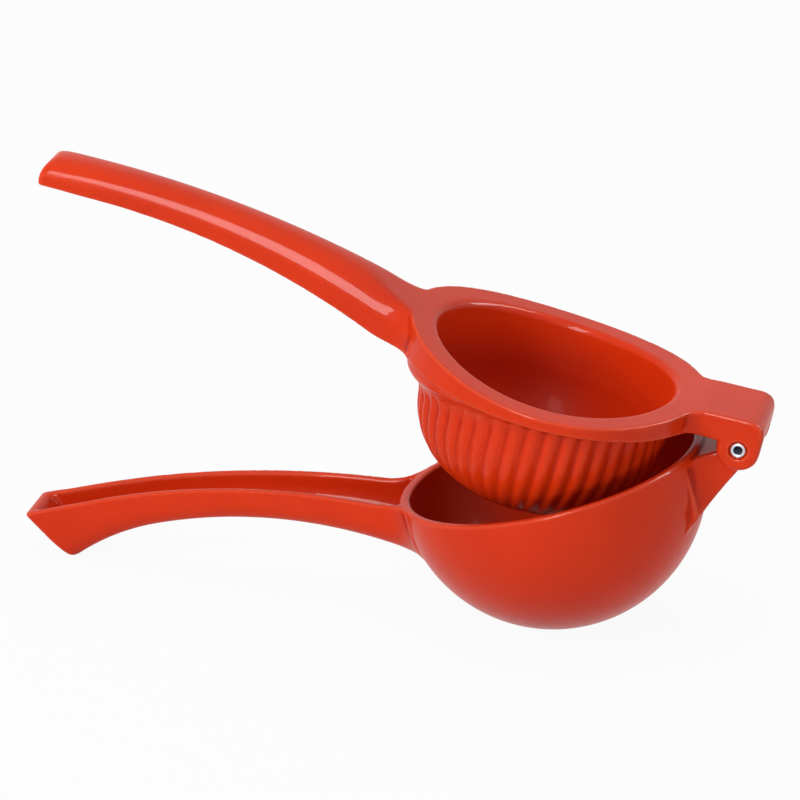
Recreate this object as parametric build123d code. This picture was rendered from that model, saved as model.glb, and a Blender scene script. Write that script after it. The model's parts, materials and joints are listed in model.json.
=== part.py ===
"""Hinged lemon squeezer: two enamelled aluminium castings that turn on one hollow steel rivet.

Millimetres, +Z up. Both castings are drawn closed in the arm frame: origin on the hinge axis, handles
towards -X, +Z square to the bowl's rim. The press arm is then opened, and the whole squeezer is tilted
until it rests on the bowl and on the tip of its lower handle, with the origin on the table under its middle.
"""
import os
from math import acos, asin, atan2, cos, degrees, hypot, pi, radians, sin, sqrt, tan

from build123d import *

# ---------------------------------------------------------------- bowl of the cup arm
BOWL_RADIUS = 42.4           # outside, at the rim
BOWL_WALL = 2.4
BOWL_BAND = 2.8              # straight band between the rim and the round bottom
FOOT_RADIUS = 12.0           # flat foot under the bowl, level when the squeezer stands on it
FOOT_THICKNESS = 2.6
HOLE_RADIUS = 1.8
HOLE_PITCH = 4.6             # between rings of strainer holes
HOLE_RINGS = 2
RIM_BREAK = 0.5              # broken edges of the bowl's rim

# ---------------------------------------------------------------- hinge
HINGE_REACH = 54.5           # hinge axis to bowl axis
HINGE_DROP = 0.5             # hinge axis below the rim
CLEVIS_HALF = 13.0           # half the width over the ears
EAR_THICKNESS = 4.6
EAR_RADIUS = 6.0
SIDE_PLAY = 0.25             # between lug and ear, each side
KNUCKLE_RADIUS = 4.4         # rounded end of the lug
KNUCKLE_PLAY = 0.4           # between knuckle and hinge block
LUG_FLARE = 10.0             # plan radius that spreads the lug into the bowl
LUG_DROP = 0.9               # lug's top below the hinge axis
LUG_SLOPE = 38.0             # underside of the lug, degrees
NECK_FLARE = 6.0             # plan radius between the press rim and the hinge block
NECK_TURN = 9.0              # degrees that the top bends back towards level, over the neck
NECK_BEND = 20.0
BLOCK_ROUND = 3.6            # round of the block's back corner
BLOCK_CORNER = 1.6           # its upright corners
BACK_NOTCH = 3.0             # height of the notch behind the knuckle, which lets the lug's slope in

# ---------------------------------------------------------------- rivet
RIVET_RADIUS = 1.6
RIVET_BORE = 1.2
LIP_RADIUS = 2.05            # rolled ends
LIP_HEIGHT = 0.6
COUNTERBORE_RADIUS = 2.6
COUNTERBORE_DEPTH = 0.8
RIVET_PLAY = 0.05            # radial, in the lug

# ---------------------------------------------------------------- handles
HANDLE_REACH = 203.4         # hinge axis to the upper tip
HANDLE_RISE = 14.7           # parting line at the tips above the rim
ROOT_BEND = 25.0             # side-view radii of the parting line
HANDLE_BEND = 240.0
WAIST_HALF = 7.8             # half the width where the handles are slimmest
TIP_TO_WAIST = 37.4
WAIST_BEND = 600.0           # plan radius of the flanks
PARTING_GAP = 0.3            # closed castings stay this far apart
SIDE_SHARE = 0.4             # straight flank as a share of a handle's depth
HANDLE_WALL = 2.2
END_WALL = 2.6
ROOT_WEB = 0.6               # between a handle's channel and the round wall of the cup
ROOT_FLARE = 10.0            # plan radius that spreads the handles into the cups

TIP_TO_UNDER = 35.4          # upper tip to the highest point of the lower handle's underside
UNDER_HEIGHT = 4.2
UNDER_BEND = 140.0           # towards the bowl
UNDER_FLAT = 0.45            # flat bottom as a share of the width
HOOK_BEND = 66.0             # towards the tip
TIP_TO_HOOK = 9.6            # upper tip to the centre of the hooked tip's round
HOOK_ROUND = 2.0
HOOK_LEAN = 29.5             # end face of the lower handle, degrees

TIP_TO_CROWN = 26.4          # upper tip to the highest point of the upper handle
CROWN_HEIGHT = 24.3
CROWN_BEND = 310.0
CROWN_ROUND = 5.0            # top corner of the upper tip

# ---------------------------------------------------------------- press cup
RIM_RADIUS = 41.6            # outside of the press rim
MOUTH_BREAK = 1.0            # broken edge of the cup's mouth
SADDLE_BEND = 167.0          # side-view radius of the rim's top
SADDLE_REACH = 47.8          # its lowest point
SADDLE_HEIGHT = 4.3
SADDLE_TO_NECK = 12.0        # degrees of that bend, on either side
SADDLE_TO_HANDLE = 17.0
TONGUE_BEND = 60.0
TONGUE_TURN = 8.0
DOME_RADIUS = 34.5           # over the ribs
DOME_STRAIGHT = 11.0         # straight part of the wall
DOME_KNUCKLE = 23.3
DOME_CROWN = 60.0
DOME_WALL = 1.6              # behind the grooves
DOME_DRAFT = 5.0             # degrees that the inside of the cup opens upwards
RIB_COUNT = 44
GROOVE_DEPTH = 1.0
GROOVE_HALF = 1.7            # half the width of a groove at its top
GROOVE_BEND = 24.0           # side radius on which the grooves run out
GROOVE_SWEEP = 75.0          # degrees of that bend, past the run-out
SKIRT_SHIFT = 8.0            # smooth skirt that carries the wall into the handle
SKIRT_RADIUS = 37.5
SKIRT_HEIGHT = 12.0
SKIRT_TAPER = 50.0
SKIRT_PLAY = 0.5             # between the skirt and the inside of the bowl

OPEN_ANGLE = 27.5            # how far the press arm stands open

# ---------------------------------------------------------------- worked out from the above
RIM_Z = HINGE_DROP
PRESS_Z = RIM_Z + PARTING_GAP
BOWL_X = -HINGE_REACH
BOWL_INNER = BOWL_RADIUS - BOWL_WALL
BALL_Z = RIM_Z - BOWL_BAND
FOOT_DROP = sqrt(BOWL_RADIUS**2 - FOOT_RADIUS**2)    # ball centre to the foot
FLOOR_DROP = FOOT_DROP - FOOT_THICKNESS
ROOT_X = BOWL_X - BOWL_RADIUS
LUG_HALF = CLEVIS_HALF - EAR_THICKNESS - SIDE_PLAY
PARTING_TURN = acos(1 - HANDLE_RISE / (ROOT_BEND + HANDLE_BEND))
LEVEL_X = ROOT_X - (ROOT_BEND + HANDLE_BEND) * sin(PARTING_TURN)
CUP_INNER = DOME_RADIUS - GROOVE_DEPTH - DOME_WALL
WAIST_REACH = HANDLE_REACH - TIP_TO_WAIST
UNDER_REACH = HANDLE_REACH - TIP_TO_UNDER
HOOK_REACH = HANDLE_REACH - TIP_TO_HOOK
CROWN_REACH = HANDLE_REACH - TIP_TO_CROWN
HOOK_Z = UNDER_HEIGHT - HOOK_BEND + sqrt((HOOK_BEND + HOOK_ROUND)**2 - (HOOK_REACH - UNDER_REACH)**2)
FAR = 400.0                  # past every face, for cutting blocks
NIP = 0.01                   # makes near-tangent cuts cross cleanly
OVERLAP = 1.0                # solids that are joined, and cutters, reach this far past each other
MOUTH_TOP = 20.0             # clear of the press rim's top
BAR_SPANS = 8                # sections of the lofted handles
FLARE_SPANS = 4


def resting_pitch():
    """Tilt, in degrees, at which the bowl's foot lies flat on the table that the hook's round touches."""
    run = HOOK_REACH - HINGE_REACH
    rise = BALL_Z - HOOK_Z
    return degrees(asin((FOOT_DROP - HOOK_ROUND) / hypot(run, rise)) - atan2(rise, run))


PITCH = resting_pitch()


def side_face(*edges):
    """Face in the XZ plane from edges drawn as (x, z)."""
    return Plane.XZ * make_face(Curve() + list(edges))


def across(face, half=FAR / 2):
    """Block of an XZ face, the same amount to both sides."""
    return extrude(face, amount=half, both=True)


def upright(face):
    """Tall block of a plan face, drawn as (x, y)."""
    return extrude(face, amount=FAR / 2, both=True)


# ================================================================ lines that both castings share
def parting_height(x):
    """Height of the parting line at x: level, then two tangent arcs, then level again."""
    if x > ROOT_X:
        return RIM_Z
    if x > ROOT_X - ROOT_BEND * sin(PARTING_TURN):
        return RIM_Z + ROOT_BEND - sqrt(ROOT_BEND**2 - (ROOT_X - x)**2)
    if x > LEVEL_X:
        return RIM_Z + HANDLE_RISE - HANDLE_BEND + sqrt(HANDLE_BEND**2 - (x - LEVEL_X)**2)
    return RIM_Z + HANDLE_RISE


def parting_block(lift, above):
    """Everything above (or below) the parting line, raised by lift."""
    start = (ROOT_X, RIM_Z + lift)
    turn = degrees(PARTING_TURN)
    rise = JernArc(start=start, tangent=(-1, 0), radius=ROOT_BEND, arc_size=-turn)
    level = JernArc(start=rise @ 1, tangent=rise % 1, radius=HANDLE_BEND, arc_size=turn)
    end_z = (level @ 1).Y
    far_z = FAR if above else -FAR
    frame = Polyline(level @ 1, (-FAR, end_z), (-FAR, far_z), (FAR, far_z), (FAR, RIM_Z + lift), start)
    return across(side_face(rise, level, frame))


def waist(x):
    """Half the width of either handle at x: the flanks are one wide arc in plan."""
    return WAIST_HALF + WAIST_BEND - sqrt(WAIST_BEND**2 - (x + WAIST_REACH)**2)


def flare_centre(round_radius, half, flare):
    """Distance from the cup's axis, along X, to the arc that joins a bar's flank to the cup's round wall."""
    return sqrt((round_radius + flare)**2 - (half + flare)**2)


def crown_height(x):
    """Height of the upper handle's crown at x."""
    return CROWN_HEIGHT - CROWN_BEND + sqrt(CROWN_BEND**2 - (x + CROWN_REACH)**2)


def under_height(x):
    """Height of the lower handle's underside at x."""
    bend = UNDER_BEND if x > -UNDER_REACH else HOOK_BEND
    return UNDER_HEIGHT - bend + sqrt(bend**2 - (x + UNDER_REACH)**2)


# ================================================================ handle bars
def bar_section(x, half, flat, root_z, pole_z):
    """Section of a handle at x: straight flanks, then elliptic shoulders to a flat pole of half width flat."""
    flank_z = root_z + SIDE_SHARE * (pole_z - root_z)
    turn = 90 if pole_z > root_z else -90
    near = EllipticalCenterArc((flat, flank_z), half - flat, abs(pole_z - flank_z), 0, arc_size=turn)
    top = near @ 1
    edges = [near, mirror(near, Plane.YZ), Line((half, flank_z), (half, root_z)),
             Line((-half, flank_z), (-half, root_z)), Line((half, root_z), (-half, root_z))]
    if flat > 0:
        edges.append(Line(top, (-top.X, top.Y)))
    return Plane((x, 0, 0), x_dir=(0, 1, 0), z_dir=(1, 0, 0)) * make_face(Curve() + edges)


def bar(round_radius, pole, flat_share, inset=0.0):
    """Loft of a whole handle, from past its tip to inside the cup; inset draws the channel in it."""
    first = -HANDLE_REACH - END_WALL
    root_half = waist(BOWL_X - round_radius)
    flare_x = BOWL_X - flare_centre(round_radius, root_half, ROOT_FLARE)
    touch_x = BOWL_X + (flare_x - BOWL_X) * round_radius / (round_radius + ROOT_FLARE)

    def section(x, spread=0.0):
        half = waist(x) + spread
        root_z = parting_height(x)
        pole_z = pole(x)
        up = 1 if pole_z > root_z else -1
        return bar_section(x, half - inset, flat_share * waist(x), root_z - up, pole_z - up * inset)

    def spread(x):
        return ROOT_FLARE - sqrt(ROOT_FLARE**2 - (x - flare_x)**2)

    straight = [section(first + (flare_x - first) * i / BAR_SPANS) for i in range(BAR_SPANS + 1)]
    flared_x = [flare_x + (touch_x - flare_x) * i / FLARE_SPANS for i in range(1, FLARE_SPANS + 1)]
    flared = [section(x, spread(x)) for x in flared_x]
    root = section(touch_x + BOWL_WALL, spread(touch_x))
    return loft(straight) + loft([straight[-1]] + flared) + loft([flared[-1], root])


def lower_tip_block(inset=0.0):
    """Everything past the lower handle's leaning end face and the round under it."""
    lean = radians(HOOK_LEAN)
    radius = HOOK_ROUND + NIP
    centre = (-HOOK_REACH, HOOK_Z)
    leave = atan2(UNDER_HEIGHT - HOOK_BEND - HOOK_Z, HOOK_REACH - UNDER_REACH)
    meet = (centre[0] - radius * cos(lean), centre[1] - radius * sin(lean))
    part = (centre[0] + radius * cos(leave), centre[1] + radius * sin(leave))
    middle_turn = (lean + pi + leave + 2 * pi) / 2
    middle = (centre[0] + radius * cos(middle_turn), centre[1] + radius * sin(middle_turn))
    rise = FAR / 4
    top = (meet[0] - rise * tan(lean), meet[1] + rise)
    outline = [ThreePointArc(meet, middle, part),
               Polyline(part, (part[0], -FAR), (-FAR, -FAR), (-FAR, top[1]), top, meet)]
    return Pos(inset, 0, 0) * across(side_face(*outline))


def upper_tip_block(inset=0.0):
    """Everything past the upper handle's end face and the round over it."""
    centre_x = -HANDLE_REACH + CROWN_ROUND
    reach = CROWN_BEND - CROWN_ROUND + NIP
    centre_z = CROWN_HEIGHT - CROWN_BEND + sqrt(reach**2 - (centre_x + CROWN_REACH)**2)
    turn = degrees(atan2(centre_x + CROWN_REACH, reach))
    corner = JernArc(start=(-HANDLE_REACH, centre_z), tangent=(0, 1), radius=CROWN_ROUND, arc_size=-90 - turn)
    leave = corner @ 1
    frame = Polyline(leave, (leave.X, FAR), (-FAR, FAR), (-FAR, -FAR), (-HANDLE_REACH, -FAR),
                     (-HANDLE_REACH, centre_z))
    return Pos(inset, 0, 0) * across(side_face(corner, frame))


def cup_wall(radius):
    """Upright column around the cup's axis."""
    return Pos(BOWL_X, 0, 0) * Cylinder(radius, FAR)


def bracket_plan(round_radius, half, flare, reach):
    """Plan of a bracket from a round wall towards the hinge, with a concave arc into the wall on each side."""
    centre_x = flare_centre(round_radius, half, flare)
    share = round_radius / (round_radius + flare)
    touch = (BOWL_X + centre_x * share, (half + flare) * share)
    turn = (-pi / 2 + atan2(-(half + flare), -centre_x)) / 2
    middle = (BOWL_X + centre_x + flare * cos(turn), half + flare + flare * sin(turn))
    leave = (BOWL_X + centre_x, half)
    right = ThreePointArc(touch, middle, leave)
    end = Polyline(leave, (reach, half), (reach, -half), (leave[0], -half))
    inside_x = BOWL_X + round_radius / 2
    back = Polyline((touch[0], -touch[1]), (inside_x, -touch[1]), (inside_x, touch[1]), touch)
    return make_face(Curve() + [right, mirror(right, Plane.XZ), end, back])


def hinge_rod(radius, half, y=0.0):
    """Cylinder on the hinge axis."""
    return Pos(0, y, 0) * Rot(90, 0, 0) * Cylinder(radius, 2 * half)


# ================================================================ cup arm
def on_foot(shape):
    """Shape drawn around the ball's centre with -Z to the table, tilted to its place in the arm frame."""
    return Pos(BOWL_X, 0, BALL_Z) * Rot(0, PITCH, 0) * shape


def below_plane(drop):
    """Everything further below the ball's centre than drop, square to the resting squeezer."""
    return on_foot(Pos(0, 0, -drop - FAR / 2) * Box(FAR, FAR, FAR))


def bowl_outside():
    """Solid of the bowl's outside, with its rim's edge broken and its foot cut flat."""
    ball = RadiusArc((0, BALL_Z - BOWL_RADIUS), (BOWL_RADIUS, BALL_Z), -BOWL_RADIUS)
    frame = Polyline((BOWL_RADIUS, BALL_Z), (BOWL_RADIUS, RIM_Z - RIM_BREAK), (BOWL_RADIUS - RIM_BREAK, RIM_Z),
                     (0, RIM_Z), (0, BALL_Z - BOWL_RADIUS))
    return Pos(BOWL_X, 0, 0) * revolve(side_face(ball, frame), Axis.Z) - below_plane(FOOT_DROP)


def bowl_space():
    """Room inside the bowl, down to the strainer's flat floor."""
    ball = RadiusArc((0, BALL_Z - BOWL_INNER), (BOWL_INNER, BALL_Z), -BOWL_INNER)
    mouth = BOWL_INNER + RIM_BREAK
    frame = Polyline((BOWL_INNER, BALL_Z), (BOWL_INNER, RIM_Z - RIM_BREAK), (mouth, RIM_Z), (mouth, FAR),
                     (0, FAR), (0, BALL_Z - BOWL_INNER))
    return Pos(BOWL_X, 0, 0) * revolve(side_face(ball, frame), Axis.Z) - below_plane(FLOOR_DROP)


def strainer_holes():
    """Rings of six, twelve and so on around a plain middle, drilled square to the foot."""
    places = []
    for ring in range(1, HOLE_RINGS + 1):
        count = 6 * ring
        places += [(ring * HOLE_PITCH * cos(2 * pi * i / count), ring * HOLE_PITCH * sin(2 * pi * i / count))
                   for i in range(count)]
    middle = -(FOOT_DROP + FLOOR_DROP) / 2
    return [on_foot(Pos(x, y, middle) * Cylinder(HOLE_RADIUS, 2 * FOOT_THICKNESS)) for x, y in places]


def lug():
    """Bracket from the bowl to the hinge, with a round knuckle and a sloping underside."""
    slope = radians(LUG_SLOPE)
    leave = (KNUCKLE_RADIUS * sin(slope), -KNUCKLE_RADIUS * cos(slope))
    run = HINGE_REACH - BOWL_RADIUS / 2 + KNUCKLE_RADIUS
    web = side_face(Polyline((0, 0), leave, (leave[0] - run, leave[1] - run * tan(slope)),
                             (leave[0] - run, -LUG_DROP), (-KNUCKLE_RADIUS, -LUG_DROP), (0, 0)))
    knuckle = hinge_rod(KNUCKLE_RADIUS, FAR / 2)
    plan = bracket_plan(BOWL_RADIUS, LUG_HALF, LUG_FLARE, KNUCKLE_RADIUS)
    return upright(plan) & (across(web) + knuckle)


def make_cup_arm():
    """Strainer bowl, channelled lower handle and hinge lug in one casting."""
    handle = bar(BOWL_RADIUS, under_height, UNDER_FLAT) & parting_block(0, above=False)
    handle -= lower_tip_block()
    body = bowl_outside() + handle + lug()
    body -= bowl_space()
    channel = bar(BOWL_RADIUS, under_height, UNDER_FLAT, inset=HANDLE_WALL)
    channel += Pos(0, 0, OVERLAP) * channel
    channel -= cup_wall(BOWL_RADIUS + ROOT_WEB)
    channel -= lower_tip_block(inset=END_WALL)
    body -= channel
    body -= strainer_holes()
    body -= hinge_rod(RIVET_RADIUS + RIVET_PLAY, FAR / 2)
    return body


# ================================================================ press arm
def dome_profile(inset=0.0, top=PRESS_Z + OVERLAP, draft=0.0):
    """Half section of the press cup's dome: a wall with some draft, a knuckle and a flatter crown."""
    radius = DOME_RADIUS - inset
    knee_z = PRESS_Z - DOME_STRAIGHT
    turn = degrees(asin((DOME_RADIUS - DOME_KNUCKLE) / (DOME_CROWN - DOME_KNUCKLE)))
    knuckle = JernArc(start=(radius, knee_z), tangent=(0, -1), radius=DOME_KNUCKLE - inset, arc_size=turn - 90)
    crown = JernArc(start=knuckle @ 1, tangent=knuckle % 1, radius=DOME_CROWN - inset, arc_size=-turn)
    spread = (top - knee_z) * tan(radians(draft))
    frame = Polyline(crown @ 1, (0, top), (radius + spread, top), (radius, knee_z))
    return side_face(knuckle, crown, frame)


def groove_cutter():
    """V-shaped cutter for one groove: deepest down the straight wall, running out over the knuckle."""
    floor_x = DOME_RADIUS - GROOVE_DEPTH
    knee_z = PRESS_Z - DOME_STRAIGHT
    top = PRESS_Z + 2 * OVERLAP
    floor = JernArc(start=(floor_x, knee_z), tangent=(0, -1), radius=GROOVE_BEND, arc_size=-GROOVE_SWEEP)
    low = floor @ 1
    room = 4 * GROOVE_DEPTH
    frame = Polyline(low, (low.X, low.Y - room), (floor_x + room, low.Y - room), (floor_x + room, top),
                     (floor_x, top), (floor_x, knee_z))
    taper = degrees(atan2(GROOVE_DEPTH, GROOVE_HALF))
    return extrude(side_face(floor, frame), amount=GROOVE_HALF + OVERLAP, both=True, taper=taper)


def ribbed_dome():
    """Solid dome with grooves all round, set on the cup's axis."""
    dome = revolve(dome_profile(), Axis.Z)
    cutter = groove_cutter()
    dome -= [Rot(0, 0, 360 * i / RIB_COUNT) * cutter for i in range(RIB_COUNT)]
    return Pos(BOWL_X, 0, 0) * dome


def skirt():
    """Smooth cone that carries the cup's wall into the handle, shifted towards it."""
    foot = SKIRT_RADIUS - SKIRT_HEIGHT * tan(radians(SKIRT_TAPER))
    cone = Cone(foot, SKIRT_RADIUS, SKIRT_HEIGHT, align=(Align.CENTER, Align.CENTER, Align.MAX))
    return Pos(BOWL_X - SKIRT_SHIFT, 0, PRESS_Z) * cone & cup_wall(BOWL_INNER - SKIRT_PLAY)


def press_top_block():
    """Everything above the press arm's top line and behind its hinge block."""
    turn = radians(SADDLE_TO_HANDLE)
    low_end = (-SADDLE_REACH - SADDLE_BEND * sin(turn), SADDLE_HEIGHT + SADDLE_BEND * (1 - cos(turn)))
    saddle = JernArc(start=low_end, tangent=(cos(turn), -sin(turn)), radius=SADDLE_BEND,
                     arc_size=SADDLE_TO_HANDLE + SADDLE_TO_NECK)
    tongue = JernArc(start=low_end, tangent=(-cos(turn), sin(turn)), radius=TONGUE_BEND, arc_size=-TONGUE_TURN)
    neck = JernArc(start=saddle @ 1, tangent=saddle % 1, radius=NECK_BEND, arc_size=-NECK_TURN)
    slope = SADDLE_TO_NECK - NECK_TURN
    corner_x = EAR_RADIUS - BLOCK_ROUND * (1 + sin(radians(slope)))
    corner_z = (neck @ 1).Y + (corner_x - (neck @ 1).X) * tan(radians(slope))
    corner = JernArc(start=(corner_x, corner_z), tangent=neck % 1, radius=BLOCK_ROUND, arc_size=-90 - slope)
    rise = tongue % 1
    peak = (tongue @ 1).X + rise.X * FAR, (tongue @ 1).Y + rise.Y * FAR
    frame = Polyline(corner @ 1, (FAR, (corner @ 1).Y), (FAR, peak[1]), peak, tongue @ 1)
    return across(side_face(saddle, tongue, neck, Line(neck @ 1, corner @ 0), corner, frame))


def on_mouth(edge):
    """True for the edge where the cup's inner wall meets the rim's top."""
    points = [edge @ share for share in (0.0, 0.3, 0.6)]
    return all(hypot(point.X - BOWL_X, point.Y) < DOME_RADIUS and point.Z > PRESS_Z + OVERLAP for point in points)


def hinge_block():
    """Neck and block from the press rim to the hinge, with the round ends of the ears."""
    plan = bracket_plan(RIM_RADIUS, CLEVIS_HALF, NECK_FLARE, EAR_RADIUS)
    plan = fillet(plan.vertices().sort_by(Axis.X)[-2:], BLOCK_CORNER)
    block = Pos(0, 0, PRESS_Z) * extrude(plan, amount=FAR / 4)
    heel = Pos(EAR_RADIUS / 2, 0, PRESS_Z / 2) * Box(EAR_RADIUS, 2 * CLEVIS_HALF, PRESS_Z)
    return block + (heel + hinge_rod(EAR_RADIUS, CLEVIS_HALF) & upright(plan))


def lug_pocket():
    """Room between the ears for the lug: round over the knuckle, open below."""
    half = CLEVIS_HALF - EAR_THICKNESS
    depth = 2 * EAR_RADIUS
    front = Pos(-depth / 2, 0, PRESS_Z - depth / 2) * Box(depth, 2 * half, depth)
    back = Pos(depth / 2, 0, BACK_NOTCH - depth / 2) * Box(depth, 2 * half, depth)
    return hinge_rod(KNUCKLE_RADIUS + KNUCKLE_PLAY, half) + front + back


def make_press_arm():
    """Fluted press cup, arched upper handle and clevis in one casting."""
    rim = Pos(BOWL_X, 0, PRESS_Z) * extrude(Circle(RIM_RADIUS), amount=FAR / 4)
    handle = bar(RIM_RADIUS, crown_height, 0.0) & parting_block(PARTING_GAP, above=True)
    body = rim + handle + hinge_block()
    body -= press_top_block()
    body -= upper_tip_block()
    body += ribbed_dome() + skirt()
    space = dome_profile(DOME_RADIUS - CUP_INNER, MOUTH_TOP, DOME_DRAFT)
    body -= Pos(BOWL_X, 0, 0) * revolve(space, Axis.Z)
    body = body.chamfer(MOUTH_BREAK, None, [edge for edge in body.edges() if on_mouth(edge)])
    channel = bar(RIM_RADIUS, crown_height, 0.0, inset=HANDLE_WALL)
    channel -= cup_wall(RIM_RADIUS + ROOT_WEB)
    channel -= upper_tip_block(inset=END_WALL)
    channel -= Pos(0, 0, -HANDLE_WALL) * press_top_block()
    body -= channel
    body -= lug_pocket()
    body -= hinge_rod(RIVET_RADIUS, FAR / 2)
    for side in (-1, 1):
        body -= hinge_rod(COUNTERBORE_RADIUS, COUNTERBORE_DEPTH, y=side * CLEVIS_HALF)
    return body


# ================================================================ rivet
def make_rivet():
    """Hollow steel rivet, its ends rolled outwards in the ears' counterbores."""
    seat = CLEVIS_HALF - COUNTERBORE_DEPTH
    rivet = hinge_rod(RIVET_RADIUS, seat)
    for side in (-1, 1):
        rivet += hinge_rod(LIP_RADIUS, LIP_HEIGHT / 2, y=side * (seat + LIP_HEIGHT / 2))
    return rivet - hinge_rod(RIVET_BORE, CLEVIS_HALF)


# ================================================================ resting place
def place(cup_arm, press_arm, rivet):
    """Open the press arm, tilt everything to rest, and put the origin on the table under the middle."""
    tilt = Rot(0, -PITCH, 0)
    opened = Rot(0, OPEN_ANGLE - PITCH, 0)
    pieces = {"cup_arm": tilt * cup_arm, "press_arm": opened * press_arm, "hinge_rivet": opened * rivet}
    boxes = [piece.bounding_box() for piece in pieces.values()]
    middle_x = (min(box.min.X for box in boxes) + max(box.max.X for box in boxes)) / 2
    table_z = BOWL_X * sin(radians(PITCH)) + BALL_Z * cos(radians(PITCH)) - FOOT_DROP
    middle = Pos(-middle_x, 0, -table_z)
    return {name: middle * piece for name, piece in pieces.items()}


if __name__ == "__main__":
    os.makedirs("parts", exist_ok=True)
    placed = place(make_cup_arm(), make_press_arm(), make_rivet())
    for name, piece in placed.items():
        piece.label = name
        export_step(piece, f"parts/{name}.step")
        print(name, round(piece.volume / 1000, 1), "cm3")
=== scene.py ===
"""Looks of the hinged lemon squeezer: glossy orange enamel over cast aluminium, and a hollow steel rivet.

Run as a script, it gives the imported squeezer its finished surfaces, lights it on a plain white floor and
sets the camera. Metres, +Z up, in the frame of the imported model. The castings' surfaces are worked out in
millimetres in the arm frame: origin on the hinge axis, handles towards -X, +Z square to the bowl's rim.
"""
import json
from math import asin, cos, pi, radians, sin, sqrt

import bpy
import numpy as np
from bpy.props import FloatProperty, FloatVectorProperty
from mathutils import Matrix, Vector

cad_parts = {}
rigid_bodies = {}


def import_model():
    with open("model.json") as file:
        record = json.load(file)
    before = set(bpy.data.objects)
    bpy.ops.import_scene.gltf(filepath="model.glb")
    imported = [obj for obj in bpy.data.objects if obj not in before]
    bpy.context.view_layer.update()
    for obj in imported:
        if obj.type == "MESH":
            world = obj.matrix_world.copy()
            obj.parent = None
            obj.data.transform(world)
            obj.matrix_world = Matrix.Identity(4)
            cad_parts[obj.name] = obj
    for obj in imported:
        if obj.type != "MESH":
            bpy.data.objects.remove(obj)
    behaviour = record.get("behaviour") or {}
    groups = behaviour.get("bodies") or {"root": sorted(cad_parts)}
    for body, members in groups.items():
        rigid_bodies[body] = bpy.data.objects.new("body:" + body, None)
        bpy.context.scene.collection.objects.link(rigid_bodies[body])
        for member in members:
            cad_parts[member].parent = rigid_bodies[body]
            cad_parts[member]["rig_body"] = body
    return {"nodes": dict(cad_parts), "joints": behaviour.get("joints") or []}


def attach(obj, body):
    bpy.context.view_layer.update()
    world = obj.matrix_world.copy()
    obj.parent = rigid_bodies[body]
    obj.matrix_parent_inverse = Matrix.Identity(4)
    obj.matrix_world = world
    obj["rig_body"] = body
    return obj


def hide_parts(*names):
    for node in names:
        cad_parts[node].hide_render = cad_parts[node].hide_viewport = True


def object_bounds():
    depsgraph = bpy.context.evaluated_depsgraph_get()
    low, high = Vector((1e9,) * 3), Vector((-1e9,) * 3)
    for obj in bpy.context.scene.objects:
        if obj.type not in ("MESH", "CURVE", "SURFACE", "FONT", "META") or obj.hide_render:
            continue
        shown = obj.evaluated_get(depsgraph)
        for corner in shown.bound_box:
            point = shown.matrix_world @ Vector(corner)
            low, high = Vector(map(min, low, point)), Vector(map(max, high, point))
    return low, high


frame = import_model()

bl_info = {
    "name": "Lemon Squeezer Finish",
    "version": (1, 0, 0),
    "blender": (4, 5, 0),
    "location": "View3D > Sidebar > Squeezer",
    "description": "Gives a hinged lemon squeezer its cast and enamelled surfaces",
    "category": "Object",
}

HINGE = Vector(frame["joints"][0]["pos_m"])
LOW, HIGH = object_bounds()
PER_METRE = 1000.0

# ---------------------------------------------------------------- bowl and hinge, millimetres
PITCH = radians(17.5152)     # tilt of the cup arm as it rests
OPEN_ANGLE = radians(27.5)
BOWL_X = -54.5
BOWL_RADIUS = 42.4
BOWL_INNER = 40.0
RIM_Z = 0.5
BALL_Z = -2.3                # centre of the bowl's round bottom
FOOT_RADIUS = 12.0           # flat foot under the bowl
FOOT_THICKNESS = 2.6
FOOT_DROP = sqrt(BOWL_RADIUS**2 - FOOT_RADIUS**2)    # centre of the round bottom to the foot
FLOOR_DROP = FOOT_DROP - FOOT_THICKNESS
HOLE_RADIUS = 1.8
HOLE_PITCH = 4.6             # between rings of strainer holes
CLEVIS_HALF = 13.0           # half the width over the ears
POCKET_HALF = 8.4            # half the room between them
EAR_RADIUS = 6.0
LUG_HALF = 8.15
LUG_FLARE = 10.0             # plan radius that spreads the lug into the bowl
LUG_DROP = 0.9               # lug's top below the hinge axis
LUG_SLOPE = radians(38.0)    # its underside
KNUCKLE_RADIUS = 4.4         # its rounded end
POCKET_RADIUS = 4.8          # room for that end
NECK_FLARE = 6.0             # plan radius between the press rim and the hinge block
BLOCK_ROUND = 4.7            # round of the block's back corner
BLOCK_CORNER = 1.6           # its upright corners
BACK_NOTCH = 3.0             # height of the notch behind the knuckle, which lets the lug's slope in
RIVET_RADIUS = 1.6
RIVET_BORE = 1.2             # inner radius of the rivet
LIP_RADIUS = 2.05            # its rolled ends
LIP_HEIGHT = 0.6
LUG_BORE = 1.65
COUNTERBORE_RADIUS = 2.6
COUNTERBORE_DEPTH = 0.8

# ---------------------------------------------------------------- handles
HANDLE_REACH = 203.4         # hinge axis to the upper tip
HANDLE_RISE = 14.7           # parting line at the tips above the rim
ROOT_X = BOWL_X - BOWL_RADIUS
ROOT_BEND = 25.0             # side-view radii of the parting line
HANDLE_BEND = 240.0
PARTING_TURN = sqrt(1 - (1 - HANDLE_RISE / (ROOT_BEND + HANDLE_BEND))**2)    # its sine
LEVEL_X = ROOT_X - (ROOT_BEND + HANDLE_BEND) * PARTING_TURN
PARTING_GAP = 0.3            # closed castings stay this far apart
WAIST_X = -166.0             # where the handles are slimmest
WAIST_HALF = 7.8
WAIST_BEND = 600.0           # plan radius of the flanks
SIDE_SHARE = 0.4             # straight flank as a share of a handle's depth
SHOULDER_LEAST = 1.0         # least depth of the shoulders past the flank
HANDLE_WALL = 2.2
END_WALL = 2.6
ROOT_WEB = 0.6               # between a handle's channel and the round wall of the cup
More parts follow.
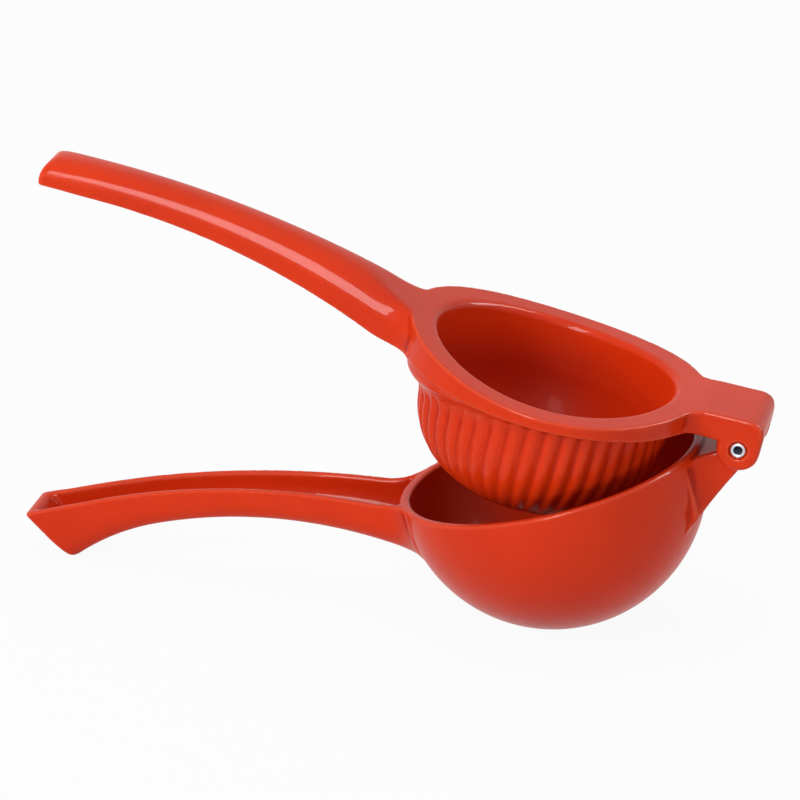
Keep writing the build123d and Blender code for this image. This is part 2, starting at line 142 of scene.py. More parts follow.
ROOT_FLARE = 10.0            # plan radius that spreads the handles into the cups
UNDER_X = -168.0             # highest point of the lower handle's underside
UNDER_HEIGHT = 4.2
UNDER_BEND = 140.0           # towards the bowl
UNDER_FLAT = 0.45            # flat bottom as a share of the width
HOOK_BEND = 66.0             # towards the tip
HOOK_X = -193.8              # centre of the hooked tip's round
HOOK_ROUND = 2.0
HOOK_LEAN = radians(29.5)    # end face of the lower handle
HOOK_Z = UNDER_HEIGHT - HOOK_BEND + sqrt((HOOK_BEND + HOOK_ROUND)**2 - (HOOK_X - UNDER_X)**2)
CROWN_X = -177.0             # highest point of the upper handle
CROWN_HEIGHT = 24.3
CROWN_BEND = 310.0
CROWN_ROUND = 5.0            # top corner of the upper tip

# ---------------------------------------------------------------- press cup
PRESS_Z = RIM_Z + PARTING_GAP
RIM_RADIUS = 41.6
SADDLE_X = -47.8             # lowest point of the rim's top
SADDLE_HEIGHT = 4.3
SADDLE_BEND = 167.0          # its side-view radius
SADDLE_TO_NECK = radians(12.0)      # how far it turns towards the neck
SADDLE_TO_HANDLE = radians(17.0)    # and towards the handle
TONGUE_BEND = 60.0           # bend between the saddle and the facet at the handle's root
TONGUE_END = radians(24.0)
NECK_BEND = 20.0
NECK_END = radians(3.0)
DOME_RADIUS = 34.5           # over the ribs
DOME_KNEE = PRESS_Z - 11.0   # lower end of the straight wall
DOME_KNUCKLE = 23.3
DOME_CROWN = 60.0
CUP_WALL = 2.6               # from the ribs' tops to the inside
CUP_DRAFT = radians(5.0)     # how far the inside opens upwards
RIB_COUNT = 44
RIB_DEPTH = 0.85             # valleys below the ribs' tops
RIB_SHARPNESS = 1.25         # how narrow the valleys are beside the ribs
RIB_START = 1.6              # flange to the valleys' upper ends, and the length over which they deepen
RIB_FADE = 0.7               # how early the ribs run out over the knuckle
SKIRT_SHIFT = 8.0            # smooth skirt that carries the wall into the handle
SKIRT_RADIUS = 37.5
SKIRT_TAPER = radians(50.0)
SKIRT_LIMIT = 39.5           # clear of the bowl's inside

# ---------------------------------------------------------------- edges and fillets, as reaches of a blend
ROUND_REACH = 1.17           # reach that looks like an arc of radius 1 on a square edge
CLOSING_EDGE = 0.9           # edges that the castings close on, the lug's top and the press arm's outline
FOOT_EDGE = 1.0
UNDER_TIP_EDGE = 1.1         # lower handle's tip
CROWN_TIP_EDGE = 1.3         # upper handle's tip
HANDLE_FILLET = 1.0          # lower handle into the bowl
FLANGE_FILLET = 0.6          # upper handle and hinge block into the press rim
LUG_FILLET = 0.8             # knuckle into the lug, and the lug into the bowl
LUG_EDGE = 1.2               # between the lug's sides and the rest of it
EAR_FILLET = 0.8             # ears into the underside of the block
FLOOR_CORNER = 2.0           # inside of the bowl, round its floor
CHANNEL_CORNER = 2.5         # corners of the handles' channels at their end walls
CHANNEL_TOP = 1.5            # roof of the upper channel under the facet
CHANNEL_EDGE = 1.0           # mouths of the channels
MOUTH_EDGE = 2.2             # mouth of the press cup
MOUTH_SEAM = 0.3             # that edge into the top face
SKIRT_EDGE = 1.0
SKIRT_FILLET = 3.0           # skirt into the ribs
DOME_FILLET = 1.5            # dome into the flange
POCKET_EDGE = 0.6
STRAINER_EDGE = 0.5
BORE_EDGE = 0.3
RIVET_HOLE_EDGE = 0.2
OVERLAP = 1.0                # how far a joined form reaches past the one that carries it

# ---------------------------------------------------------------- meshes and what they carry
ARC_LIMIT = 0.999            # share of an arc's radius past which its height stays as it is
MARGIN = 1.5                 # free room round a casting in its grid
SURFACE_MOVES = 3            # moves that carry a vertex onto the surface
MOVE_LIMIT = 0.3             # longest move, as a share of a cell
MOVE_STEP = 0.05             # half the span of the gradient that a move follows
LEAST_STEEP = 0.05           # least square of that gradient
NORMAL_STEP = 0.12           # half the span of the gradient that gives a normal
BEND_STEP = 0.45             # half the span over which the bend is taken
DULL_AND_SHADE_FADE = 1.5              # height over which the inside, dulled by juice and carrying painted shade, fades towards a rim
LIP_POINTS = 17              # points of the rivet's profile over a rolled lip
RUN_POINTS = 11              # and along half of its bore or shank
RIVET_SPOKES = 64


# ---------------------------------------------------------------- rounded solids
def join(first, second, reach):
    """Field of two solids together, with a fillet where both fields are nearer than reach:
    the smaller of the two, less the square of their closeness."""
    close = np.maximum(reach - np.abs(first - second), 0) / reach
    return np.minimum(first, second) - close * close * reach / 4


def common(first, second, reach):
    """Field of what two solids share, with its edge rounded over reach."""
    return -join(-first, -second, reach)


def without(solid, tool, reach):
    """Field of a solid with another taken away, with its edge rounded over reach."""
    return common(solid, -tool, reach)


def arc(x, middle, peak, radius):
    """Height and slope at x of an arc that tops out at (middle, peak), or bottoms out there if radius < 0."""
    run = np.clip(x - middle, -ARC_LIMIT * abs(radius), ARC_LIMIT * abs(radius))
    rise = np.sign(radius) * np.sqrt(radius**2 - run**2)
    return peak - radius + rise, -run / rise


def above(z, line):
    """Distance above a line given as height and slope."""
    height, slope = line
    return (z - height) / np.sqrt(1 + slope * slope)


def chain(x, breaks, lines):
    """One line from several, each of height and slope, that follow each other at the breaks, from -X to +X."""
    place = np.searchsorted(breaks, x)
    choices = [place == i for i in range(len(lines))]
    return (np.select(choices, [line[0] + 0 * x for line in lines]),
            np.select(choices, [line[1] + 0 * x for line in lines]))


def parting_line(x):
    """Height and slope of the line between the castings: level, two tangent arcs, and level again."""
    turn = ROOT_X - ROOT_BEND * PARTING_TURN
    return chain(x, (LEVEL_X, turn, ROOT_X),
                 ((RIM_Z + HANDLE_RISE, 0.0), arc(x, LEVEL_X, RIM_Z + HANDLE_RISE, HANDLE_BEND),
                  arc(x, ROOT_X, RIM_Z, -ROOT_BEND), (RIM_Z, 0.0)))


def press_line(x):
    """Height and slope of the press arm's top: facet, tongue, saddle, the neck's bend and the neck.

    Each starts where the one before it ends, with the same slope.
    """
    tongue_start = SADDLE_X - SADDLE_BEND * sin(SADDLE_TO_HANDLE)
    tongue_end = tongue_start - TONGUE_BEND * (sin(TONGUE_END) - sin(SADDLE_TO_HANDLE))
    tongue = (tongue_start + TONGUE_BEND * sin(SADDLE_TO_HANDLE),
              SADDLE_HEIGHT + (SADDLE_BEND - TONGUE_BEND) * (1 - cos(SADDLE_TO_HANDLE)), -TONGUE_BEND)
    facet_z = arc(tongue_end, *tongue)[0]
    facet_slope = np.tan(TONGUE_END)
    neck_x = SADDLE_X + SADDLE_BEND * sin(SADDLE_TO_NECK)
    neck_z = SADDLE_HEIGHT + SADDLE_BEND * (1 - cos(SADDLE_TO_NECK))
    top_x = neck_x + NECK_BEND * sin(SADDLE_TO_NECK)
    top_z = neck_z + NECK_BEND * (1 - cos(SADDLE_TO_NECK))
    level_x = top_x - NECK_BEND * sin(NECK_END)
    level_z = top_z - NECK_BEND * (1 - cos(NECK_END))
    neck_slope = np.tan(NECK_END)
    return chain(x, (tongue_end, tongue_start, neck_x, level_x),
                 ((facet_z - facet_slope * (x - tongue_end), -facet_slope),
                  arc(x, *tongue),
                  arc(x, SADDLE_X, SADDLE_HEIGHT, -SADDLE_BEND),
                  arc(x, top_x, top_z, NECK_BEND),
                  (level_z + neck_slope * (x - level_x), neck_slope)))


def flared(x, half, wall, flare, side):
    """Half width of a bar that spreads by a plan arc of radius flare into a round wall about the cup's axis."""
    reach = sqrt((wall + flare)**2 - (half + flare)**2)
    run = np.clip(side * (BOWL_X + side * reach - x), 0, reach * flare / (wall + flare))
    return flare - np.sqrt(flare**2 - run**2)


def handle_field(x, y, z, pole, side, flat_share, wall, inset):
    """Handle bar: straight flanks, then elliptic shoulders to a flat pole. Its flanks are a wide arc in plan.

    Pole is the line that the bar ends on, and side is 1 where that is above the parting line and -1 below.
    """
    last = BOWL_X - wall / 2
    past = x - last
    x = np.clip(x, -HANDLE_REACH - END_WALL, last)
    waist = WAIST_HALF + WAIST_BEND - np.sqrt(WAIST_BEND**2 - (x - WAIST_X)**2)
    root_half = WAIST_HALF + WAIST_BEND - sqrt(WAIST_BEND**2 - (BOWL_X - wall - WAIST_X)**2)
    half = waist + flared(x, root_half, wall, ROOT_FLARE, -1) - inset
    flat = flat_share * waist
    root = parting_line(x)[0] - side
    tip = pole(x)[0] - side * inset
    flank = root + SIDE_SHARE * (tip - root)
    wide = half - flat
    deep = np.maximum(side * (tip - flank), SHOULDER_LEAST)
    over = np.maximum(np.abs(y) - flat, 0) / wide
    up = np.maximum(side * (z - flank), 0) / deep
    steep = 2 * np.hypot(over / wide, up / deep)
    return np.maximum((over**2 + up**2 - 1) / np.maximum(steep, 1 / np.maximum(wide, deep)), past)


def under_line(x):
    """Height and slope of the lower handle's underside: a wide arc to the bowl and a tighter one to the tip."""
    return chain(x, (UNDER_X,), (arc(x, UNDER_X, UNDER_HEIGHT, HOOK_BEND),
                                 arc(x, UNDER_X, UNDER_HEIGHT, UNDER_BEND)))


def crown_line(x):
    """Height and slope of the upper handle's crown."""
    return arc(x, CROWN_X, CROWN_HEIGHT, CROWN_BEND)


def bracket_half(x, wall, half, flare):
    """Half width of a hinge bracket, flared into a round wall about the cup's axis."""
    return half + flared(x, half, wall, flare, 1)


def lug_field(x, y, z):
    """Lug: a web with a sloping underside and a round knuckle, within a flared plan."""
    slope = x * sin(LUG_SLOPE) - z * cos(LUG_SLOPE) - KNUCKLE_RADIUS
    top = z - np.maximum(x * LUG_DROP / KNUCKLE_RADIUS, -LUG_DROP)
    past = x * cos(LUG_SLOPE) + z * sin(LUG_SLOPE)
    web = np.maximum(common(slope, top, CLOSING_EDGE), past)
    web = np.maximum(web, BOWL_X + BOWL_RADIUS / 2 - x)
    side = join(web, np.hypot(x, z) - KNUCKLE_RADIUS, LUG_FILLET)
    return common(side, np.abs(y) - bracket_half(x, BOWL_RADIUS, LUG_HALF, LUG_FLARE), LUG_EDGE)


def strainer_field(along, y, rise):
    """Rings of six and twelve holes, square to the foot: each point is folded to its ring's nearest hole."""
    reach = np.hypot(along, y)
    turn = np.arctan2(y, along)
    holes = []
    for ring in (1, 2):
        step = 2 * pi / (6 * ring)
        fold = turn - step * np.round(turn / step)
        holes.append(np.hypot(reach * np.cos(fold) - ring * HOLE_PITCH, reach * np.sin(fold)) - HOLE_RADIUS)
    return np.maximum(np.minimum(*holes), rise + BOWL_INNER / 2)


def cup_arm_field(x, y, z):
    """Cup arm: bowl and handle under the parting line, hinge lug, and what is hollowed out of them."""
    out = x - BOWL_X
    deep = np.minimum(z - BALL_Z, 0)
    reach = np.sqrt(out * out + y * y + deep * deep)
    rise = out * sin(PITCH) + (z - BALL_Z) * cos(PITCH)
    along = out * cos(PITCH) - (z - BALL_Z) * sin(PITCH)
    bowl = common(reach - BOWL_RADIUS, -FOOT_DROP - rise, FOOT_EDGE)
    handle = handle_field(x, y, z, under_line, -1, UNDER_FLAT, BOWL_RADIUS, 0.0)
    end = -(x - HOOK_X) * cos(HOOK_LEAN) - (z - HOOK_Z) * sin(HOOK_LEAN) - HOOK_ROUND
    tip = common(-above(z, under_line(x)), end, HOOK_ROUND * ROUND_REACH)
    body = join(bowl, common(handle, tip, UNDER_TIP_EDGE), HANDLE_FILLET)
    body = common(body, above(z, parting_line(x)), CLOSING_EDGE)
    body = join(body, lug_field(x, y, z), LUG_FILLET)
    inside = common(reach - BOWL_INNER, -FLOOR_DROP - rise, FLOOR_CORNER)
    body = without(body, inside, CLOSING_EDGE)
    channel = handle_field(x, y, z, under_line, -1, UNDER_FLAT, BOWL_RADIUS, HANDLE_WALL)
    channel = without(channel, np.hypot(out, y) - BOWL_RADIUS - ROOT_WEB, CHANNEL_CORNER)
    channel = common(channel, end + END_WALL, CHANNEL_CORNER)
    body = without(body, channel, CHANNEL_EDGE)
    body = without(body, strainer_field(along, y, rise), STRAINER_EDGE)
    return without(body, np.hypot(x, z) - LUG_BORE, BORE_EDGE)


def dome_field(reach, z):
    """Dome of the press cup: a straight wall, a knuckle arc and a flatter crown arc, from its axis outwards."""
    middle = DOME_RADIUS - DOME_KNUCKLE
    turn = asin(middle / (DOME_CROWN - DOME_KNUCKLE))
    centre = DOME_KNEE + (DOME_CROWN - DOME_KNUCKLE) * cos(turn)
    knuckle = np.hypot(reach - middle, np.minimum(z - DOME_KNEE, 0)) - DOME_KNUCKLE
    wall = np.where(z > DOME_KNEE, reach - DOME_RADIUS, knuckle)
    crown = np.hypot(reach, z - centre) - DOME_CROWN
    return np.where(np.arctan2(reach, centre - z) < turn, crown, wall)


def rib_depth(x, y, reach, z):
    """Depth of the ribs' valleys: a raised cosine between two ribs' tops, to a power that narrows the valley.

    It fades in under the flange, and out over the knuckle.
    """
    valley = (0.5 + 0.5 * np.cos(np.arctan2(y, x - BOWL_X) * RIB_COUNT))**RIB_SHARPNESS
    out = np.maximum(reach - (DOME_RADIUS - DOME_KNUCKLE), 0.01)
    down = np.minimum(z - DOME_KNEE, 0)
    fade = np.maximum((1 + RIB_FADE) * out / np.hypot(out, down) - RIB_FADE, 0)
    start = np.clip((PRESS_Z - RIB_START - z) / RIB_START, 0, 1)
    return valley * fade * start * start * (3 - 2 * start)


def block_field(x, y, z):
    """Neck and block from the press rim to the hinge, with the ears' round ends below the parting line."""
    ears = np.hypot(x, z) - EAR_RADIUS
    side = join(PRESS_Z - z, np.minimum(ears, np.maximum(-x, -z)), EAR_FILLET)
    side = np.maximum(np.maximum(side, BOWL_X + RIM_RADIUS / 2 - x), x - EAR_RADIUS)
    plan = np.abs(y) - bracket_half(x, RIM_RADIUS, CLEVIS_HALF, NECK_FLARE)
    return common(side, plan, BLOCK_CORNER * ROUND_REACH)


def pocket_field(x, y, z):
    """Room between the ears for the lug: round over the knuckle and open below."""
    front = np.maximum(np.maximum(z - PRESS_Z, x), -2 * EAR_RADIUS - x)
    back = np.maximum(z - BACK_NOTCH, -x)
    side = np.minimum(np.hypot(x, z) - POCKET_RADIUS, np.minimum(front, back))
    return np.maximum(side, np.abs(y) - POCKET_HALF)


def press_arm_field(x, y, z):
    """Press arm: rim, handle and hinge block under the top line, fluted dome and skirt, and their hollows."""
    out = x - BOWL_X
    reach = np.hypot(out, y)
    top = above(z, press_line(x))
    rim = common(reach - RIM_RADIUS, PRESS_Z - z, CLOSING_EDGE)
    handle = handle_field(x, y, z, crown_line, 1, 0.0, RIM_RADIUS, 0.0)
    height, slope = parting_line(x)
    handle = common(handle, -above(z, (height + PARTING_GAP, slope)), CLOSING_EDGE)
    end = -HANDLE_REACH - x
    tip = common(above(z, crown_line(x)), end, CROWN_ROUND * ROUND_REACH)
    handle = common(handle, tip, CROWN_TIP_EDGE)
    body = join(join(rim, handle, FLANGE_FILLET), block_field(x, y, z), FLANGE_FILLET)
    back = common(top, x - EAR_RADIUS, BLOCK_ROUND * ROUND_REACH)
    body = common(body, back, CLOSING_EDGE)
    dome = dome_field(reach, z)
    past = z - PRESS_Z - OVERLAP
    ribbed = np.maximum(dome + RIB_DEPTH * rib_depth(x, y, reach, z), past)
    lean = np.hypot(out + SKIRT_SHIFT, y) - SKIRT_RADIUS + (PRESS_Z - z) * np.tan(SKIRT_TAPER)
    skirt = np.maximum(common(lean * cos(SKIRT_TAPER), reach - SKIRT_LIMIT, SKIRT_EDGE), past)
    body = join(body, join(ribbed, skirt, SKIRT_FILLET), DOME_FILLET)
    inside = (reach - DOME_RADIUS + CUP_WALL - (z - DOME_KNEE) * np.tan(CUP_DRAFT)) * cos(CUP_DRAFT)
    space = np.where(z > DOME_KNEE, inside, dome + CUP_WALL)
    body = common(body, common(top, -space, MOUTH_EDGE), MOUTH_SEAM)
    channel = handle_field(x, y, z, crown_line, 1, 0.0, RIM_RADIUS, HANDLE_WALL)
    channel = without(channel, reach - RIM_RADIUS - ROOT_WEB, CHANNEL_CORNER)
    channel = common(channel, end + END_WALL, CROWN_ROUND)
    channel = common(channel, top + HANDLE_WALL, CHANNEL_TOP)
    body = without(body, channel, CHANNEL_EDGE)
    body = without(body, pocket_field(x, y, z), POCKET_EDGE)
    body = without(body, np.hypot(x, z) - RIVET_RADIUS, RIVET_HOLE_EDGE)
    sunk = CLEVIS_HALF - COUNTERBORE_DEPTH - np.abs(y)
    return without(body, np.maximum(np.hypot(x, z) - COUNTERBORE_RADIUS, sunk), BORE_EDGE)


# ---------------------------------------------------------------- from a field to a mesh
def gradient(field, points, step):
    """Central differences of a field at points, as an array of three rows."""
    shifts = np.eye(3)[:, :, None] * step
    return np.array([field(*(points + shift)) - field(*(points - shift)) for shift in shifts]) / (2 * step)


def skin(field, low, high, cell):
    """Vertices and quads of the surface where a field is zero, in a box from low to high.

    Each cell of a cubic grid that the surface crosses gets one vertex at the mean of its edges' crossings,
    which then steps along the gradient onto the surface. Each crossed grid edge gets one quad, of the
    vertices of the four cells round it, that faces the way the field rises.
    """
    axes = [np.arange(first, last + cell, cell) for first, last in zip(low, high)]
    value = field(*np.meshgrid(*axes, indexing="ij", sparse=True)).astype(np.float32)
    solid = value < 0
    corners = np.array(np.meshgrid((0, 1), (0, 1), (0, 1), indexing="ij")).reshape(3, -1).T
    size = np.array(value.shape) - 1
    full = sum(solid[i:i + size[0], j:j + size[1], k:k + size[2]].astype(np.int8) for i, j, k in corners)
    cells = np.array(np.nonzero((full > 0) & (full < 8)))
    number = np.zeros(size, np.int32)
    number[tuple(cells)] = np.arange(cells.shape[1])

    total = np.zeros(cells.shape)
    count = np.zeros(cells.shape[1])
    for start in corners:
        for axis in np.nonzero(start == 0)[0]:
            stop = start + np.eye(3, dtype=int)[axis]
            first = value[tuple(cells + start[:, None])]
            second = value[tuple(cells + stop[:, None])]
            crossed = (first < 0) != (second < 0)
            share = np.where(crossed, first / np.where(crossed, first - second, 1), 0)
            total += crossed * (start[:, None] + share * (stop - start)[:, None])
            count += crossed
    points = (cells + total / count) * cell + np.array(low)[:, None]
    for _ in range(SURFACE_MOVES):
        slope = gradient(field, points, MOVE_STEP)
        move = -field(*points) * slope / np.maximum((slope**2).sum(0), LEAST_STEEP)
        points += np.clip(move, -MOVE_LIMIT * cell, MOVE_LIMIT * cell)

    quads = []
    for axis in range(3):
        left, right = (axis + 1) % 3, (axis + 2) % 3
        ahead = np.roll(solid, -1, axis)
        crossing = solid != ahead
        edges = np.array(np.nonzero(crossing))
        inner = (edges[axis] < size[axis]) & (edges[left] > 0) & (edges[right] > 0)
        inner &= (edges[left] < size[left]) & (edges[right] < size[right])
        edges = edges[:, inner]
        ring = []
        for back_left, back_right in ((1, 1), (0, 1), (0, 0), (1, 0)):
            place = edges.copy()
            place[left] -= back_left
            place[right] -= back_right
            ring.append(number[tuple(place)])
        ring = np.array(ring).T
        outward = solid[tuple(edges)]
        quads.append(np.where(outward[:, None], ring, ring[:, ::-1]))
    return points, np.vstack(quads)


def lay_in_place(points, turn):
    """Points of an arm frame, in millimetres, turned about the hinge and carried to it, in metres."""
    x, y, z = points / PER_METRE
    return np.array([HINGE.x + x * cos(turn) - z * sin(turn), HINGE.y + y,
                     HINGE.z + x * sin(turn) + z * cos(turn)])


def bend(field, points):
    """Bend of a field's surface: positive on edges and in the round, negative in hollows (its Laplacian)."""
    shifts = np.eye(3)[:, :, None] * BEND_STEP
    around = sum(field(*(points + shift)) + field(*(points - shift)) for shift in shifts)
    return (around - 6 * field(*points)) / BEND_STEP**2


def cast_piece(name, field, inside, low, high, cell, turn):
    """Mesh object of a casting's skin, with its field's own normals, its bend, and its inside that juice has
    dulled and that gets painted shade.
    """
    points, quads = skin(field, low, high, cell)
    normals = gradient(field, points, NORMAL_STEP)
    normals /= np.maximum(np.sqrt((normals**2).sum(0)), 1e-6)
    mesh = grid_mesh(name, lay_in_place(points, turn).T, quads)
    for key, values in (("bend", bend(field, points)), ("dulled_and_shaded", inside(*points))):
        attribute = mesh.attributes.new(key, "FLOAT", "POINT")
        attribute.data.foreach_set("value", values.astype(np.float32))
    x, y, z = normals
    turned = np.array([x * cos(turn) - z * sin(turn), y, x * sin(turn) + z * cos(turn)]).T
    mesh.normals_split_custom_set_from_vertices(turned.tolist())
    return add_object(name, mesh)


def in_bowl(x, y, z):
    """1 on the bowl's inner wall, falling to 0 at its rim and from 0.2 to 0.5 mm into the wall."""
    reach = np.sqrt((x - BOWL_X)**2 + y**2 + np.minimum(z - BALL_Z, 0)**2)
    near = np.clip((BOWL_INNER + 0.5 - reach) / 0.3, 0, 1)
    return near * np.clip((RIM_Z - DULL_AND_SHADE_FADE - z) / DULL_AND_SHADE_FADE, 0, 1)


def in_cup(x, y, z):
    """1 on the press cup's inner wall, falling to 0 at its mouth and from 0.3 to 0.8 mm into the wall."""
    near = np.clip(-(dome_field(np.hypot(x - BOWL_X, y), z) + CUP_WALL - 0.8) / 0.5, 0, 1)
    return near * np.clip((PRESS_Z - 1 - z) / DULL_AND_SHADE_FADE, 0, 1)


def grid_mesh(name, points, faces):
    """Smooth mesh from rows of points and rows of point numbers."""
    mesh = bpy.data.meshes.new(name)
    sides = faces.shape[1]
    mesh.vertices.add(len(points))
    mesh.vertices.foreach_set("co", points.astype(np.float32).ravel())
    mesh.loops.add(faces.size)
    mesh.loops.foreach_set("vertex_index", faces.astype(np.int32).ravel())
    mesh.polygons.add(len(faces))
    mesh.polygons.foreach_set("loop_start", np.arange(0, faces.size, sides, dtype=np.int32))
    mesh.update(calc_edges=True)
    mesh.polygons.foreach_set("use_smooth", np.ones(len(faces), bool))
    return mesh


def add_object(name, data):
    """Object of a mesh, lamp or camera, put into the scene."""
    piece = bpy.data.objects.new(name, data)
    bpy.context.scene.collection.objects.link(piece)
    return piece


# ---------------------------------------------------------------- shader expressions
class Wire:
    """A shader socket, or a number, on which Python's operators add Math nodes."""

    def __init__(self, sheet, value):
        self.sheet = sheet
        self.value = value

    def math(self, operation, *others):
        """Result of a Math node on this value and the others."""
        inputs = dict(enumerate((self, *others)))
        return self.sheet.node("ShaderNodeMath", {"operation": operation}, inputs)["Value"]

    def __add__(self, other):
        return self.math("ADD", other)

    __radd__ = __add__

    def __sub__(self, other):
        return self.math("SUBTRACT", other)

    def __rsub__(self, other):
        return Wire(self.sheet, other).math("SUBTRACT", self)

    def __mul__(self, other):
        return self.math("MULTIPLY", other)

    __rmul__ = __mul__

    def step(self, low, high):
        """Smooth step from 0 at low to 1 at high."""
        inputs = {"Value": self, "From Min": low, "From Max": high}
        return self.sheet.node("ShaderNodeMapRange", {"interpolation_type": "SMOOTHSTEP"}, inputs)["Result"]


class Sheet:
    """A node tree, with one method that adds any node."""

    def __init__(self, owner):
        owner.use_nodes = True
        self.owner = owner
        self.tree = owner.node_tree
        self.tree.nodes.clear()

    def feed(self, socket, item):
        """Give a socket a value, or link it to the socket behind a Wire."""
        value = item.value if isinstance(item, Wire) else item
        if isinstance(value, bpy.types.NodeSocket):
            self.tree.links.new(value, socket)
        else:
            socket.default_value = value

    def node(self, kind, settings=None, inputs=None):
        """Outputs, by name, of a new node. Its settings are set first, then its sockets by name or number."""
        node = self.tree.nodes.new(kind)
        for key, value in (settings or {}).items():
            setattr(node, key, value)
        shown = [socket for socket in node.inputs if socket.enabled]
        for key, item in (inputs or {}).items():
            socket = shown[key] if isinstance(key, int) else next(s for s in shown if s.name == key)
            self.feed(socket, item)
        return {socket.name: Wire(self, socket) for socket in node.outputs if socket.enabled}

    def place(self):
        """Object coordinates, in metres."""
        return self.node("ShaderNodeTexCoord")["Object"]

    def noise(self, scale, detail=2.0, roughness=0.5, place=None):
        """Noise from 0 to 1, with scale waves to the metre."""
        return self.node("ShaderNodeTexNoise", None, {
            "Vector": place or self.place(), "Scale": scale, "Detail": detail, "Roughness": roughness})["Fac"]

    def blend(self, factor, first, second):
        """Colour mix of first and second by factor."""
        return self.node("ShaderNodeMix", {"data_type": "RGBA"},
                         {"Factor": factor, "A": first, "B": second})["Result"]

    def bump(self, height, distance, strength=1.0, normal=None):
        """Normal bent by a height from 0 to 1, which stands for distance metres."""
        inputs = {"Height": height, "Distance": distance, "Strength": strength}
        if normal is not None:
            inputs["Normal"] = normal
        return self.node("ShaderNodeBump", None, inputs)["Normal"]

    def seen(self):
        """1 for a ray from the camera, in gloss or through glass, and 0 for light."""
        path = self.node("ShaderNodeLightPath")
        rays = path["Is Camera Ray"] + path["Is Glossy Ray"] + path["Is Transmission Ray"]
        return rays.math("MINIMUM", 1.0)

    def finish(self, inputs):
        """Principled shader to the output; returns the material."""
        shader = self.node("ShaderNodeBsdfPrincipled", None, inputs)["BSDF"]
        self.node("ShaderNodeOutputMaterial", None, {"Surface": shader})
        return self.owner


# ---------------------------------------------------------------- settings
def linear(red, green, blue):
    """Linear colour of an sRGB colour given in 0 to 255."""
    share = np.array([red, green, blue]) / 255
    return tuple(float(v) for v in np.where(share <= 0.04045, share / 12.92, ((share + 0.055) / 1.055)**2.4))


class CastingSettings(bpy.types.PropertyGroup):
    """Colour and gloss of the enamel on the two castings, and how finely their skins are cut."""
    colour: FloatVectorProperty(name="Colour", description="Enamel colour", subtype="COLOR",
                                default=linear(212, 52, 10))
    # darker colour: painted shade in hollows and inside the cup and bowl, partly pooled enamel, and the far end
    # of the random drift
    pooled_and_shade: FloatVectorProperty(name="Pooled colour", description="Colour where the enamel pools in hollows",
                                subtype="COLOR", default=linear(168, 30, 12))
    # lighter colour over edges: a painted highlight, partly thinner enamel
    thin_and_highlight: FloatVectorProperty(name="Thin colour", description="Colour where the enamel thins over edges",
                              subtype="COLOR", default=linear(226, 92, 62))
    roughness: FloatProperty(name="Roughness", description="Roughness of the enamel", default=0.34,
                             min=0.0, max=1.0, subtype="FACTOR")
    coat: FloatProperty(name="Gloss coat", description="Weight of the clear gloss", default=0.18,
                        min=0.0, max=1.0, subtype="FACTOR")
    cup_cell: FloatProperty(name="Cup arm cell", description="Size of the cells that cut the cup arm's skin",
                            default=0.00069, min=0.0003, unit="LENGTH")
    press_cell: FloatProperty(name="Press arm cell",
                              description="Size of the cells that cut the press arm's skin",
                              default=0.00066, min=0.0003, unit="LENGTH")


class RivetSettings(bpy.types.PropertyGroup):
    """Colour and finish of the steel rivet."""
    colour: FloatVectorProperty(name="Colour", description="Steel colour", subtype="COLOR",
                                default=linear(214, 217, 224))
    roughness: FloatProperty(name="Roughness", description="Roughness of the turned steel", default=0.18,
                             min=0.0, max=1.0, subtype="FACTOR")


class StageSettings(bpy.types.PropertyGroup):
    """Camera, floor and lamps."""
    azimuth: FloatProperty(name="Azimuth", description="Camera's turn about the upright axis",
                           default=radians(10.8398), subtype="ANGLE")
    elevation: FloatProperty(name="Elevation", description="Camera's height above the horizon",
                             default=radians(20.6962), subtype="ANGLE")
    roll: FloatProperty(name="Roll", description="Camera's turn about its own axis",
                        default=radians(3.1647), subtype="ANGLE")
    distance: FloatProperty(name="Distance", description="Camera to aim point", default=1.15, unit="LENGTH")
    lens: FloatProperty(name="Lens", description="Focal length in millimetres", default=188.66)
    aim: FloatVectorProperty(name="Aim", description="Point that the camera looks at", subtype="XYZ",
                             default=(0.001387, -0.002275, 0.057855))
    key: FloatProperty(name="Key lamp", description="Watts of the soft lamp on the left", default=9.6)
    strip: FloatProperty(name="Strip panel", description="Watts of the panel mirrored along the handles",
                         default=22.0)
    over: FloatProperty(name="Overhead lamp", description="Watts of the soft lamp above", default=5.0)
    fill: FloatProperty(name="Fill lamp", description="Watts of the low lamp on the right", default=2.9)
    glint: FloatProperty(name="Glint panel", description="Watts of the panel mirrored in the rim's edge",
                         default=24.0)
    ambient: FloatProperty(name="Ambient", description="Strength of the surroundings as light", default=0.4)


